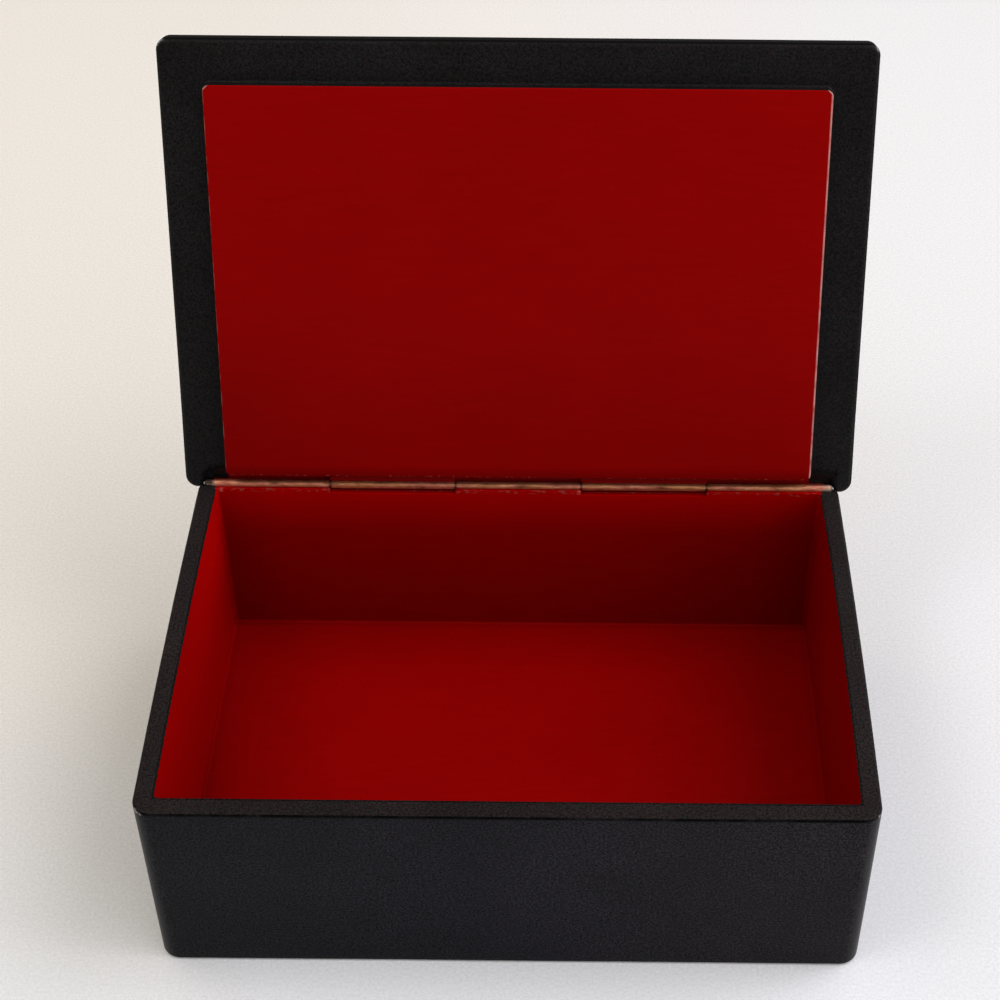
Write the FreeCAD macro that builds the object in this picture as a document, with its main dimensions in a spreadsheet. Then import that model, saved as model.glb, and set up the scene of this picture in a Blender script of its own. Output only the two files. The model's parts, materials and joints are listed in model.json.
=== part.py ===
import FreeCAD, Part
import os
import Sketcher
from FreeCAD import Placement, Rotation, Vector

# Lacquer box of papier-mache with a hinged lid.
# The walls are one wound ring round a floor board, lined with a thick coat of red lacquer.
# The lid is a flat board with a raised panel that drops into the well, on a brass tube hinge.
# Sizes are millimetres. X runs along the hinge, Y towards the back and Z up.
# The origin is the middle of the underside, and the lid stands open against its stop.

DIMENSIONS = {
    # The box below the lid
    "base_width": 160.0,
    "base_depth": 108.0,
    "rim_height": 52.5,
    "end_bow": 0.4,
    "corner_round": 4.5,
    "foot_round": 1.0,
    "rim_round": 0.8,
    # The well inside it
    "wall_thick": 4.5,
    "floor_thick": 5.5,
    "lacquer_thick": 0.4,
    "well_corner": 1.0,
    "well_fillet": 0.5,
    # The lid, measured from the hinge axis where it is closed
    "open_angle": 110.0,
    "lid_gap": 0.1,
    "lid_thick": 5.8,
    "lid_side_overhang": 3.4,
    "lid_front_overhang": 4.2,
    "lid_rear_reach": 1.3,
    "lid_corner": 3.0,
    "lid_top_round": 1.2,
    "lid_under_round": 1.4,
    # The raised panel under the lid
    "panel_step": 3.5,
    "panel_side_gap": 3.0,
    "panel_front_gap": 1.4,
    "panel_hinge_gap": 3.4,
    "panel_corner": 1.5,
    "panel_edge_round": 0.3,
    # The hinge, whose axis lies a little way in from the back face
    "axis_inset": 2.6,
    "barrel_radius": 1.0,
    "barrel_length": 157.0,
    "knuckle_count": 5,
    "knuckle_gap": 0.2,
    "knuckle_chamfer": 0.12,
    "pin_radius": 0.5,
    "pin_play": 0.04,
    "pin_end": 0.35,
    "pin_dome": 0.25,
    "slot_play": 0.35,
    "slot_front": 2.6,
    "stop_play": 0.05,
    # The two strips that carry the knuckles, and the wire pins that hold the strips
    "strip_thick": 0.45,
    "strip_front": 0.9,
    "strip_end_inset": 2.0,
    "base_strip_depth": 6.0,
    "lid_strip_depth": 3.9,
    "wire_radius": 0.4,
    "wire_spread": 9.0,
    "wire_cover": 0.8,
    "base_wire_drop": 4.4,
    "lid_wire_rise": 2.6,
    "lid_wire_reach": 3.0,
    "lid_wire_length": 3.8,
}

# Expressions that more than one piece shares
GROOVE_LENGTH = "(dims.barrel_length + 2 * (dims.pin_end + dims.knuckle_gap))"
AXIS_Y = "(dims.base_depth / 2 - dims.axis_inset)"
AXIS_Z = "(dims.rim_height + dims.lid_gap)"
CORE_WALL = "(dims.wall_thick - dims.lacquer_thick)"
CORE_CORNER = "(dims.well_corner + dims.lacquer_thick)"
BOARD_TOP = "(dims.floor_thick - dims.lacquer_thick)"
PITCH = "(dims.barrel_length / dims.knuckle_count)"
CLEAR_RADIUS = "(dims.barrel_radius + dims.slot_play)"
STRIP_HALF = "(dims.barrel_length / 2 - dims.strip_end_inset)"

# How far a cut runs on past the solid that it cuts
OUTSIDE = "1"

# Lengths that are this close are the same, and edges this close to a place are found there
SAME = 1e-3
NEAR = 0.1

# Knuckles are counted in pitches from the middle of the hinge
BASE_KNUCKLES = {"base_knuckle_left": -2, "base_knuckle_middle": 0, "base_knuckle_right": 2}
LID_KNUCKLES = {"lid_knuckle_left": -1, "lid_knuckle_right": 1}

doc = FreeCAD.newDocument("lacquer_box")
nodes = []


def make_sheet():
    """The driving dimensions, one named cell each."""
    made = doc.addObject("Spreadsheet::Sheet", "dims")
    for row, (alias, size) in enumerate(DIMENSIONS.items(), 1):
        made.set(f"A{row}", alias)
        made.set(f"B{row}", str(size))
        made.setAlias(f"B{row}", alias)
    doc.recompute()
    return made


sheet = make_sheet()


def size_of(expression):
    """The present value of an expression, as a plain number."""
    found = sheet.evalExpression(expression)
    return float(getattr(found, "Value", found))


def new_body(name):
    """An empty body whose label names its file."""
    body = doc.addObject("PartDesign::Body", name)
    body.Label = name
    nodes.append(body)
    return body


def new_sketch(body, name, plane="XY_Plane", rise=None):
    """A sketch on one of the body's own planes, moved along that plane's normal by rise."""
    sketch = body.newObject("Sketcher::SketchObject", f"{body.Name}_{name}")
    support = next(f for f in body.Origin.OriginFeatures if f.Role == plane)
    sketch.AttachmentSupport = [(support, "")]
    sketch.MapMode = "FlatFace"
    if rise:
        sketch.setExpression("AttachmentOffset.Base.z", rise)
    return sketch


def fix_point(sketch, geometry, vertex, x, y):
    """Hold one point of a sketch at x, y, which are expressions from the sketch's origin."""
    for kind, expression in (("DistanceX", x), ("DistanceY", y)):
        offset = size_of(expression)
        if offset >= 0:
            held = Sketcher.Constraint(kind, -1, 1, geometry, vertex, offset)
        else:
            held = Sketcher.Constraint(kind, geometry, vertex, -1, 1, -offset)
            expression = f"-({expression})"
        number = sketch.addConstraint(held)
        sketch.setExpression(f"Constraints[{number}]", expression)


def outline(sketch, corners, bows=None):
    """A closed outline through corners, anticlockwise; bows maps a side to its arc's radius."""
    bows = bows or {}
    points = [Vector(size_of(x), size_of(y), 0) for x, y in corners]
    first = sketch.GeometryCount
    count = len(points)
    for side, start in enumerate(points):
        end = points[(side + 1) % count]
        if side in bows:
            radius = size_of(bows[side])
            chord = end - start
            outward = Vector(chord.y, -chord.x, 0).normalize()
            swell = radius - (radius**2 - (chord.Length / 2) ** 2) ** 0.5
            crown = start + chord * 0.5 + outward * swell
            sketch.addGeometry(Part.Arc(start, crown, end))
        else:
            sketch.addGeometry(Part.LineSegment(start, end))
    for side, (x, y) in enumerate(corners):
        following = first + (side + 1) % count
        sketch.addConstraint(Sketcher.Constraint("Coincident", first + side, 2, following, 1))
        fix_point(sketch, first + side, 1, x, y)
        if side in bows:
            number = sketch.addConstraint(
                Sketcher.Constraint("Radius", first + side, size_of(bows[side]))
            )
            sketch.setExpression(f"Constraints[{number}]", bows[side])


def rectangle(sketch, left, front, right, back):
    """A plain rectangle between four expressions."""
    outline(sketch, [(left, front), (right, front), (right, back), (left, back)])


def circle(sketch, x, y, radius):
    """A circle about x, y; all three are expressions."""
    centre = Vector(size_of(x), size_of(y), 0)
    geometry = sketch.addGeometry(Part.Circle(centre, Vector(0, 0, 1), size_of(radius)))
    fix_point(sketch, geometry, 3, x, y)
    number = sketch.addConstraint(Sketcher.Constraint("Radius", geometry, size_of(radius)))
    sketch.setExpression(f"Constraints[{number}]", radius)


def bowed_rectangle(sketch, width, depth):
    """A rectangle about the origin whose two short sides swell outward by end_bow."""
    half_x = f"({width}) / 2"
    half_y = f"({depth}) / 2"
    radius = f"((({depth}) / 2) ^ 2 + dims.end_bow ^ 2) / (2 * dims.end_bow)"
    corners = [
        (f"-{half_x}", f"-{half_y}"),
        (half_x, f"-{half_y}"),
        (half_x, half_y),
        (f"-{half_x}", half_y),
    ]
    outline(sketch, corners, {1: radius, 3: radius})


def pad(body, sketch, length, side="One side", downward=False):
    """Fill a sketch to a length, which is an expression."""
    feature = body.newObject("PartDesign::Pad", f"{sketch.Name}_pad")
    feature.Profile = sketch
    feature.SideType = side
    feature.Reversed = downward
    feature.setExpression("Length", length)
    doc.recompute()


def pocket(body, sketch, length=None, side="One side", forward=False):
    """Cut a sketch out of a body, right through it unless a length is given."""
    before = body.Shape.Volume
    feature = body.newObject("PartDesign::Pocket", f"{sketch.Name}_cut")
    feature.Profile = sketch
    feature.SideType = side
    feature.Reversed = forward
    if length:
        feature.setExpression("Length", length)
    else:
        feature.Type = "ThroughAll"
    doc.recompute()
    if body.Shape.Volume > before - SAME:
        raise RuntimeError(f"{feature.Name} cuts nothing")


def soften(body, name, kind, size, chosen):
    """Fillet or chamfer the edges of a body whose bounding box passes the test."""
    base = body.Tip
    edges = [
        f"Edge{number}"
        for number, edge in enumerate(base.Shape.Edges, 1)
        if chosen(edge.BoundBox)
    ]
    if not edges:
        raise RuntimeError(f"{body.Name}_{name} finds no edge")
    feature = body.newObject(f"PartDesign::{kind}", f"{body.Name}_{name}")
    feature.Base = (base, edges)
    feature.setExpression("Radius" if kind == "Fillet" else "Size", size)
    doc.recompute()


def upright(box):
    """Whether an edge stands straight up."""
    return box.XLength < SAME and box.YLength < SAME


def level_at(height):
    """A test for edges that lie flat at one height."""
    return lambda box: abs(box.ZMin - height) < SAME and abs(box.ZMax - height) < SAME


def corner_of(width, depth):
    """A test for upright edges at the corners of a rectangle about the origin."""
    half_x = size_of(width) / 2
    half_y = size_of(depth) / 2
    return lambda box: (upright(box) and abs(abs(box.XMax) - half_x) < NEAR
                        and abs(abs(box.YMax) - half_y) < NEAR)


def outside_of(width, depth):
    """A test for edges that reach beyond a rectangle about the origin with bowed ends."""
    limit_x = size_of(width) / 2 + size_of("dims.end_bow") + NEAR
    limit_y = size_of(depth) / 2 + NEAR
    return lambda box: (max(abs(box.XMin), abs(box.XMax)) > limit_x
                        or max(abs(box.YMin), abs(box.YMax)) > limit_y)


def span(pitches):
    """Where one knuckle's share of the hinge starts and ends, as two expressions."""
    return f"{PITCH} * ({pitches} - 0.5)", f"{PITCH} * ({pitches} + 0.5)"


def cut_lid_knuckle_notches(body):
    """The two places where the back rim drops to let the lid's knuckles turn."""
    sketch = new_sketch(body, "notches", "XZ_Plane")
    for pitches in LID_KNUCKLES.values():
        left, right = span(pitches)
        rectangle(sketch, left, f"{AXIS_Z} - {CLEAR_RADIUS}", right, f"{AXIS_Z} + {OUTSIDE}")
    pocket(body, sketch)


def wire_places(knuckles):
    """Where wire pins cross a strip: one either side of each knuckle's middle."""
    return [
        f"{PITCH} * {pitches} {sign} dims.wire_spread"
        for pitches in knuckles.values()
        for sign in "-+"
    ]


def make_body_wall():
    """The wound ring of the four walls, with the hinge's seat along its back rim."""
    body = new_body("body_wall")
    ring = new_sketch(body, "ring")
    bowed_rectangle(ring, "dims.base_width", "dims.base_depth")
    inner_width = f"dims.base_width - 2 * {CORE_WALL}"
    inner_depth = f"dims.base_depth - 2 * {CORE_WALL}"
    bowed_rectangle(ring, inner_width, inner_depth)
    pad(body, ring, "dims.rim_height")

    soften(body, "corners", "Fillet", "dims.corner_round",
           corner_of("dims.base_width", "dims.base_depth"))
    soften(body, "well_corners", "Fillet", CORE_CORNER, corner_of(inner_width, inner_depth))
    beyond_well = outside_of(inner_width, inner_depth)
    at_foot = level_at(0)
    at_rim = level_at(size_of("dims.rim_height"))
    soften(body, "foot", "Fillet", "dims.foot_round",
           lambda box: at_foot(box) and beyond_well(box))
    soften(body, "rim", "Fillet", "dims.rim_round",
           lambda box: at_rim(box) and beyond_well(box))

    groove = new_sketch(body, "groove", "YZ_Plane")
    circle(groove, AXIS_Y, AXIS_Z, "dims.barrel_radius")
    pocket(body, groove, GROOVE_LENGTH, side="Symmetric")

    # The lid's back face comes to rest on this bevel
    reach = "(dims.lid_rear_reach + dims.stop_play)"
    heel_y = f"({AXIS_Y} + {reach} * cos(dims.open_angle))"
    heel_z = f"({AXIS_Z} - {reach} * sin(dims.open_angle))"
    back_y = f"(dims.base_depth / 2 + {OUTSIDE})"
    fall = f"(({back_y} - {heel_y}) / tan(dims.open_angle))"
    bevel = new_sketch(body, "bevel", "YZ_Plane")
    outline(bevel, [
        (heel_y, heel_z),
        (back_y, f"{heel_z} + {fall}"),
        (back_y, f"{AXIS_Z} + {OUTSIDE}"),
        (heel_y, f"{AXIS_Z} + {OUTSIDE}"),
    ])
    pocket(body, bevel, side="Symmetric")

    cut_lid_knuckle_notches(body)

    kerf = new_sketch(body, "kerf", "YZ_Plane")
    rectangle(kerf, f"{AXIS_Y} - dims.strip_front", f"{AXIS_Z} - dims.base_strip_depth",
              f"{AXIS_Y} - dims.strip_front + dims.strip_thick", AXIS_Z)
    pocket(body, kerf, f"2 * {STRIP_HALF}", side="Symmetric")

    wires = new_sketch(body, "wires", "XZ_Plane")
    for place in wire_places(BASE_KNUCKLES):
        circle(wires, place, f"{AXIS_Z} - dims.base_wire_drop", "dims.wire_radius")
    pocket(body, wires, "dims.base_depth / 2 - dims.wire_cover")


def make_bottom_board():
    """The floor, let in between the walls."""
    body = new_body("bottom_board")
    board = new_sketch(body, "board")
    bowed_rectangle(board, f"dims.base_width - 2 * {CORE_WALL}",
                    f"dims.base_depth - 2 * {CORE_WALL}")
    pad(body, board, BOARD_TOP)
    soften(body, "corners", "Fillet", CORE_CORNER, upright)


def make_well_lining():
    """The coat of red lacquer over the floor and the inner faces of the walls."""
    body = new_body("well_lining")
    block = new_sketch(body, "block", rise=BOARD_TOP)
    bowed_rectangle(block, f"dims.base_width - 2 * {CORE_WALL}",
                    f"dims.base_depth - 2 * {CORE_WALL}")
    pad(body, block, f"dims.rim_height - {BOARD_TOP}")
    soften(body, "corners", "Fillet", CORE_CORNER, upright)

    well_width = "dims.base_width - 2 * dims.wall_thick"
    well_depth = "dims.base_depth - 2 * dims.wall_thick"
    well = new_sketch(body, "well", rise="dims.floor_thick")
    bowed_rectangle(well, well_width, well_depth)
    pocket(body, well, forward=True)
    soften(body, "well_corners", "Fillet", "dims.well_corner", corner_of(well_width, well_depth))
    soften(body, "floor_fillet", "Fillet", "dims.well_fillet",
           level_at(size_of("dims.floor_thick")))
    cut_lid_knuckle_notches(body)


def lid_edge_y():
    """How far the lid's front edge lies before the hinge axis."""
    return "(dims.base_depth - dims.axis_inset + dims.lid_front_overhang)"


def open_lid(node):
    """Carry a piece drawn about the hinge axis, lid closed, to where the open lid holds it."""
    turn = Rotation(Vector(-1, 0, 0), size_of("dims.open_angle"))
    node.Placement = Placement(Vector(0, 0, 0), turn)
    node.setExpression("Placement.Rotation.Angle", "dims.open_angle")
    to_hinge_axis(node)


def to_hinge_axis(node):
    """Move a piece drawn about the hinge axis to that axis."""
    node.setExpression("Placement.Base.y", AXIS_Y)
    node.setExpression("Placement.Base.z", AXIS_Z)


def make_lid_board():
    """The flat board of the lid, slotted for the box's knuckles."""
    body = new_body("lid_board")
    half = "(dims.base_width / 2 + dims.lid_side_overhang)"
    board = new_sketch(body, "board")
    rectangle(board, f"-{half}", f"-{lid_edge_y()}", half, "dims.lid_rear_reach")
    pad(body, board, "dims.lid_thick")
    soften(body, "corners", "Fillet", "dims.lid_corner", upright)
    soften(body, "top", "Fillet", "dims.lid_top_round", level_at(size_of("dims.lid_thick")))
    soften(body, "under", "Fillet", "dims.lid_under_round", level_at(0))

    groove = new_sketch(body, "groove", "YZ_Plane")
    circle(groove, "0", "0", "dims.barrel_radius")
    pocket(body, groove, GROOVE_LENGTH, side="Symmetric")

    slots = new_sketch(body, "slots")
    for pitches in BASE_KNUCKLES.values():
        left, right = span(pitches)
        rectangle(slots, left, "-dims.slot_front", right, f"dims.lid_rear_reach + {OUTSIDE}")
    pocket(body, slots, CLEAR_RADIUS, forward=True)

    kerf = new_sketch(body, "kerf", "YZ_Plane")
    rectangle(kerf, "-dims.strip_front", "0",
              "-dims.strip_front + dims.strip_thick", "dims.lid_strip_depth")
    pocket(body, kerf, f"2 * {STRIP_HALF}", side="Symmetric")

    wires = new_sketch(body, "wires", "XZ_Plane", rise="dims.lid_wire_reach")
    for place in wire_places(LID_KNUCKLES):
        circle(wires, place, "dims.lid_wire_rise", "dims.wire_radius")
    pocket(body, wires, "dims.lid_wire_length")
    open_lid(body)


def panel_outline(sketch):
    """The plan of the raised panel, which drops into the well with a gap all round."""
    half = "(dims.base_width / 2 - dims.wall_thick - dims.panel_side_gap)"
    front = "(dims.base_depth - dims.axis_inset - dims.wall_thick - dims.panel_front_gap)"
    rectangle(sketch, f"-{half}", f"-{front}", half, "-dims.panel_hinge_gap")


def make_lid_panel():
    """The raised panel under the lid, black on its edges."""
    body = new_body("lid_panel")
    panel = new_sketch(body, "panel")
    panel_outline(panel)
    pad(body, panel, "dims.panel_step - dims.lacquer_thick", downward=True)
    soften(body, "corners", "Fillet", "dims.panel_corner", upright)
    open_lid(body)


def make_lid_panel_lining():
    """The coat of red lacquer on the panel's face."""
    body = new_body("lid_panel_lining")
    coat = new_sketch(body, "coat", rise="dims.lacquer_thick - dims.panel_step")
    panel_outline(coat)
    pad(body, coat, "dims.lacquer_thick", downward=True)
    soften(body, "corners", "Fillet", "dims.panel_corner", upright)
    soften(body, "edge", "Fillet", "dims.panel_edge_round",
           level_at(-size_of("dims.panel_step")))
    open_lid(body)


def make_knuckle(name, pitches, bore, settle):
    """One length of the hinge's tube."""
    body = new_body(name)
    tube = new_sketch(body, "tube", "YZ_Plane")
    circle(tube, "0", "0", "dims.barrel_radius")
    circle(tube, "0", "0", bore)
    pad(body, tube, f"{PITCH} - dims.knuckle_gap", side="Symmetric")
    outer = 2 * size_of("dims.barrel_radius")
    soften(body, "mouths", "Chamfer", "dims.knuckle_chamfer",
           lambda box: box.XLength < SAME and abs(box.YLength - outer) < SAME)
    settle(body)
    body.setExpression("Placement.Base.x", f"{PITCH} * {pitches}")


def make_hinge_pin():
    """The wire that runs through all the knuckles, its ends a little proud and domed."""
    body = new_body("hinge_pin")
    wire = new_sketch(body, "wire", "YZ_Plane")
    circle(wire, "0", "0", "dims.pin_radius")
    pad(body, wire, "dims.barrel_length + 2 * dims.pin_end", side="Symmetric")
    soften(body, "domes", "Fillet", "dims.pin_dome", lambda box: box.XLength < SAME)
    to_hinge_axis(body)


def cut_for_barrel(body):
    """Hollow a strip's tabs so that they hug the knuckles they carry."""
    barrel = new_sketch(body, "barrel", "YZ_Plane")
    circle(barrel, "0", "0", "dims.barrel_radius")
    pocket(body, barrel, side="Symmetric")


def cut_wire_holes(body, knuckles, height):
    """The holes for a strip's wire pins."""
    holes = new_sketch(body, "holes", "XZ_Plane")
    for place in wire_places(knuckles):
        circle(holes, place, height, "dims.wire_radius")
    pocket(body, holes, side="Symmetric")


def make_base_hinge_strip():
    """The strip let into the back wall, with a tab under each of the box's knuckles."""
    body = new_body("base_hinge_strip")
    foot = "-dims.base_strip_depth"
    low = f"-{CLEAR_RADIUS}"
    high = "-dims.strip_thick / 2"
    comb = new_sketch(body, "comb", "XZ_Plane", rise="dims.strip_front")
    outline(comb, [
        (f"-{STRIP_HALF}", foot),
        (STRIP_HALF, foot),
        (STRIP_HALF, high),
        (f"{PITCH} * 1.5", high),
        (f"{PITCH} * 1.5", low),
        (f"{PITCH} * 0.5", low),
        (f"{PITCH} * 0.5", high),
        (f"-{PITCH} * 0.5", high),
        (f"-{PITCH} * 0.5", low),
        (f"-{PITCH} * 1.5", low),
        (f"-{PITCH} * 1.5", high),
        (f"-{STRIP_HALF}", high),
    ])
    pad(body, comb, "dims.strip_thick", downward=True)
    cut_for_barrel(body)
    cut_wire_holes(body, BASE_KNUCKLES, "-dims.base_wire_drop")
    to_hinge_axis(body)


def make_lid_hinge_strip():
    """The strip let into the lid, with a tab on each of the lid's knuckles."""
    body = new_body("lid_hinge_strip")
    top = "dims.lid_strip_depth"
    high = CLEAR_RADIUS
    low = "dims.strip_thick / 2"
    comb = new_sketch(body, "comb", "XZ_Plane", rise="dims.strip_front")
    outline(comb, [
        (STRIP_HALF, top),
        (f"-{STRIP_HALF}", top),
        (f"-{STRIP_HALF}", high),
        (f"-{PITCH} * 1.5", high),
        (f"-{PITCH} * 1.5", low),
        (f"-{PITCH} * 0.5", low),
        (f"-{PITCH} * 0.5", high),
        (f"{PITCH} * 0.5", high),
        (f"{PITCH} * 0.5", low),
        (f"{PITCH} * 1.5", low),
        (f"{PITCH} * 1.5", high),
        (STRIP_HALF, high),
    ])
    pad(body, comb, "dims.strip_thick", downward=True)
    cut_for_barrel(body)
    cut_wire_holes(body, LID_KNUCKLES, "dims.lid_wire_rise")
    open_lid(body)


def make_wire_pins(name, knuckles, start, height, length, settle):
    """A strip's wire pins, as one group of separate pieces along Y."""
    pins = []
    for number, place in enumerate(wire_places(knuckles), 1):
        pin = doc.addObject("Part::Cylinder", f"{name}_{number}")
        pin.Placement = Placement(Vector(0, 0, 0), Rotation(Vector(-1, 0, 0), 90))
        pin.setExpression("Radius", "dims.wire_radius")
        pin.setExpression("Height", length)
        pin.setExpression("Placement.Base.x", place)
        pin.setExpression("Placement.Base.y", start)
        pin.setExpression("Placement.Base.z", height)
        pins.append(pin)
    group = doc.addObject("Part::Compound", name)
    group.Label = name
    group.Links = pins
    nodes.append(group)
    settle(group)


def make_hinge():
    """Five lengths of tube on one pin, carried by two strips."""
    tight = "dims.pin_radius"
    running = "(dims.pin_radius + dims.pin_play)"
    for name, pitches in BASE_KNUCKLES.items():
        make_knuckle(name, pitches, tight, to_hinge_axis)
    for name, pitches in LID_KNUCKLES.items():
        make_knuckle(name, pitches, running, open_lid)
    make_hinge_pin()
    make_base_hinge_strip()
    make_lid_hinge_strip()
    wall_inside = f"(dims.axis_inset - {CORE_WALL})"
    make_wire_pins("base_strip_pins", BASE_KNUCKLES, wall_inside, "-dims.base_wire_drop",
                   f"{CORE_WALL} - dims.wire_cover", to_hinge_axis)
    make_wire_pins("lid_strip_pins", LID_KNUCKLES, "-dims.lid_wire_reach",
                   "dims.lid_wire_rise", "dims.lid_wire_length", open_lid)


def check_document():
    """Stop where anything in the document failed, or a piece has no sound shape."""
    for thing in doc.Objects:
        if "Invalid" in thing.State or "Error" in thing.State:
            raise RuntimeError(f"{thing.Name} failed: {thing.State}")
    for node in nodes:
        if node.Shape.isNull() or not node.Shape.isValid():
            raise RuntimeError(f"{node.Name} has no valid shape")


def write_parts():
    """One file for each piece, named by its label."""
    os.makedirs("parts", exist_ok=True)
    for node in nodes:
        node.Shape.exportStep(f"parts/{node.Label}.step")
        box = node.Shape.BoundBox
        solids = len(node.Shape.Solids)
        print(f"{node.Label}: {solids} solid, {node.Shape.Volume:.1f} mm3, "
              f"{box.XLength:.2f} x {box.YLength:.2f} x {box.ZLength:.2f} mm")


make_body_wall()
make_bottom_board()
make_well_lining()
make_lid_board()
make_lid_panel()
make_lid_panel_lining()
make_hinge()
doc.recompute()
check_document()
write_parts()
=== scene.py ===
import json
import math

import bmesh
import bpy
from mathutils import Matrix, Vector, noise


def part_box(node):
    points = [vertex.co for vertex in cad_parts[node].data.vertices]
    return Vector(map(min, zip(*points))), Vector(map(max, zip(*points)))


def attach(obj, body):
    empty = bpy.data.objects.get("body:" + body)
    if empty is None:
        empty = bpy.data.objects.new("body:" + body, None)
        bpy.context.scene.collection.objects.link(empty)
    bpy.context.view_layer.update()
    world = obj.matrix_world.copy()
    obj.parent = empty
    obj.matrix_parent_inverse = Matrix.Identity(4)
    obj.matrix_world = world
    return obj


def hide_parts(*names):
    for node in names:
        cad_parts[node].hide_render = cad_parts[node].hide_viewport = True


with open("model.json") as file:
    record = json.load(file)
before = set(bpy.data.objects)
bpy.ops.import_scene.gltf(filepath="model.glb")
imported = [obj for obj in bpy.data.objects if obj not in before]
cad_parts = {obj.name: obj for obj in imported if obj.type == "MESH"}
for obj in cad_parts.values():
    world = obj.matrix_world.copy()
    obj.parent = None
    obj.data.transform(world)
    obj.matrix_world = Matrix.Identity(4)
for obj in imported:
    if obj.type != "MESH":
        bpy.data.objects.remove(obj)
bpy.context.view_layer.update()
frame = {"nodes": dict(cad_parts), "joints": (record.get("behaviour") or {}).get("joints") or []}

# Black and red lacquer box, its lid open on a brass tube hinge.
# Everything is in metres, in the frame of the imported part.

MM = 0.001
BOX = "box"
LID = "lid"

# The middle of the box's foot, and the directions from it
MIDDLE = (0, 0, 0)
RIGHT = (1, 0, 0)
FRONT = (0, -1, 0)
BACK = (0, 1, 0)
UP = (0, 0, 1)
UPRIGHT = Matrix.Identity(4)

# Two points nearer together than this are one
SAME = 1e-6
RIGHT_ANGLE = math.radians(90)

# Unevenness of the hand-wound walls, which fades out round the hinge
WAVE_DEPTH = 0.10 * MM
WAVE_LENGTH = 34 * MM
GRID = 3.5 * MM
HINGE_CLEAR = 6 * MM
HINGE_FADE = 10 * MM

# The fillet of lacquer round the panel's foot, and the corner it goes round
BEAD = 0.7 * MM
BEAD_ROOT = 0.05 * MM
PANEL_CORNER = 1.5 * MM
CORNER_STEPS = 8

# The rolled tubes of the hinge; dents take a share of their radius
KNUCKLES = 5
BARREL = 1.0 * MM
PIN = 0.5 * MM
PIN_PLAY = 0.02 * MM
TUBE_SIDES = 30
TUBE_STEP = 0.6 * MM
SEAM = math.radians(9)
BASE_SEAM = math.radians(-80)
LID_SEAM = math.radians(-20)
MOUTH = 0.12 * MM
ROUND_SHARE = 0.98
DENT_SHARE = 0.018
DENT_LENGTH = 6 * MM
DENT_TURN = 0.7

# The thick coat of red lacquer in the well
COAT = 0.4 * MM

# Where most of a noise's values lie
NOISE_LOW = 0.3
NOISE_HIGH = 0.7

# Colours of the lacquer, in linear light
BLACK_DARK = (0.0066, 0.0060, 0.0064)
BLACK_LIGHT = (0.0094, 0.0085, 0.0092)
# Painted shade: the dark line under the rim's edge
RIM_LINE_SHADE = (0.0006, 0.0005, 0.0006)
# Painted shade: the dark outermost turn of the lid's edge
LID_EDGE_SHADE = (0.0008, 0.0007, 0.0008)
RED_DARK = (0.242, 0.0004, 0.0004)
RED_LIGHT = (0.262, 0.0005, 0.0005)

# Colours of painted glints on the corners, of painted highlights along the panel's rim, and of pale
# specks on the red edges, part wear and part painted highlight
LID_CORNER_GLINT = (0.22, 0.21, 0.20)
RIM_CORNER_GLINT = (0.26, 0.24, 0.25)
# Pale specks and chips on the red edges: part wear, part painted highlight
WELL_SPECK = (0.34, 0.055, 0.045)
WELL_CHIP_AND_GLINT = (0.60, 0.12, 0.11)
PANEL_SPECK = (0.25, 0.035, 0.030)
# Painted highlights along the panel's rounded rim
PANEL_RIGHT_HIGHLIGHT = (0.56, 0.25, 0.23)
PANEL_LEFT_HIGHLIGHT = (0.45, 0.20, 0.18)
PANEL_CORNER_HIGHLIGHT = (0.50, 0.36, 0.34)

# Colours of the hinge
COPPER = (
    (0.30, (0.13, 0.048, 0.020)),
    (0.42, (0.42, 0.165, 0.075)),
    (0.58, (0.67, 0.285, 0.125)),
    (0.74, (0.86, 0.47, 0.29)),
)
ROSY = (
    (0.30, (0.16, 0.042, 0.026)),
    (0.42, (0.46, 0.145, 0.095)),
    (0.58, (0.69, 0.26, 0.155)),
    (0.74, (0.86, 0.50, 0.38)),
)
# The tube's greyed ends: paler metal from wear, and a painted highlight
TUBE_END_WEAR_AND_HIGHLIGHT = (0.40, 0.35, 0.29)
SOOT = (0.02, 0.018, 0.016)
JOINT_SHADE = (0.03, 0.012, 0.008)
STEEL_DARK = (0.22, 0.21, 0.20)
STEEL_LIGHT = (0.42, 0.41, 0.39)

# Colours of the floor, and its painted light: tinted from warmer at the left to cooler at the right,
# cooler towards the front, and lighter in front of the box
FLOOR_DARK = (0.81, 0.797, 0.780)
FLOOR_LIGHT = (0.82, 0.808, 0.795)
FLOOR_SIDE_LIGHT_TINTS = ((0.0, (0.965, 0.955, 0.92)), (0.5, (1.0, 1.0, 1.0)), (1.0, (0.99, 1.02, 1.07)))
FLOOR_NEAR_LIGHT_TINT = (1.0, 1.05, 1.11)
FLOOR_MIDDLE_PAINTED_LIGHT = (1.15, 1.14, 1.15)

# Painted light and shade in the red: how much lighter or darker places of it are, beside the rest of
# it
BACK_TOP_PAINTED_LIGHT = 1.62
BACK_FOOT_PAINTED_SHADE = 0.88
BACK_CORNER_PAINTED_SHADE = 0.84
LEFT_TOP_PAINTED_LIGHT = 1.16
LEFT_FAR_PAINTED_LIGHT = 1.65
LEFT_FOOT_PAINTED_LIGHT = 1.40
FLOOR_LEFT_PAINTED_SHADE = 0.64
FLOOR_SEAM_PAINTED_SHADE = 0.86
PANEL_NEAR_HINGE_SHADE = 0.93
PANEL_AT_HINGE_SHADE = 0.62
PANEL_LEFT_SHADE = 0.84

# How strongly the surfaces shine
PLAIN_GLOSS = 0.07
WALL_GLOSS = 0.045
RED_GLOSS = 0.02
FLOOR_GLOSS = 0.2
TUBE_METAL = 0.75
SMEARED_METAL = 0.25

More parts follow.
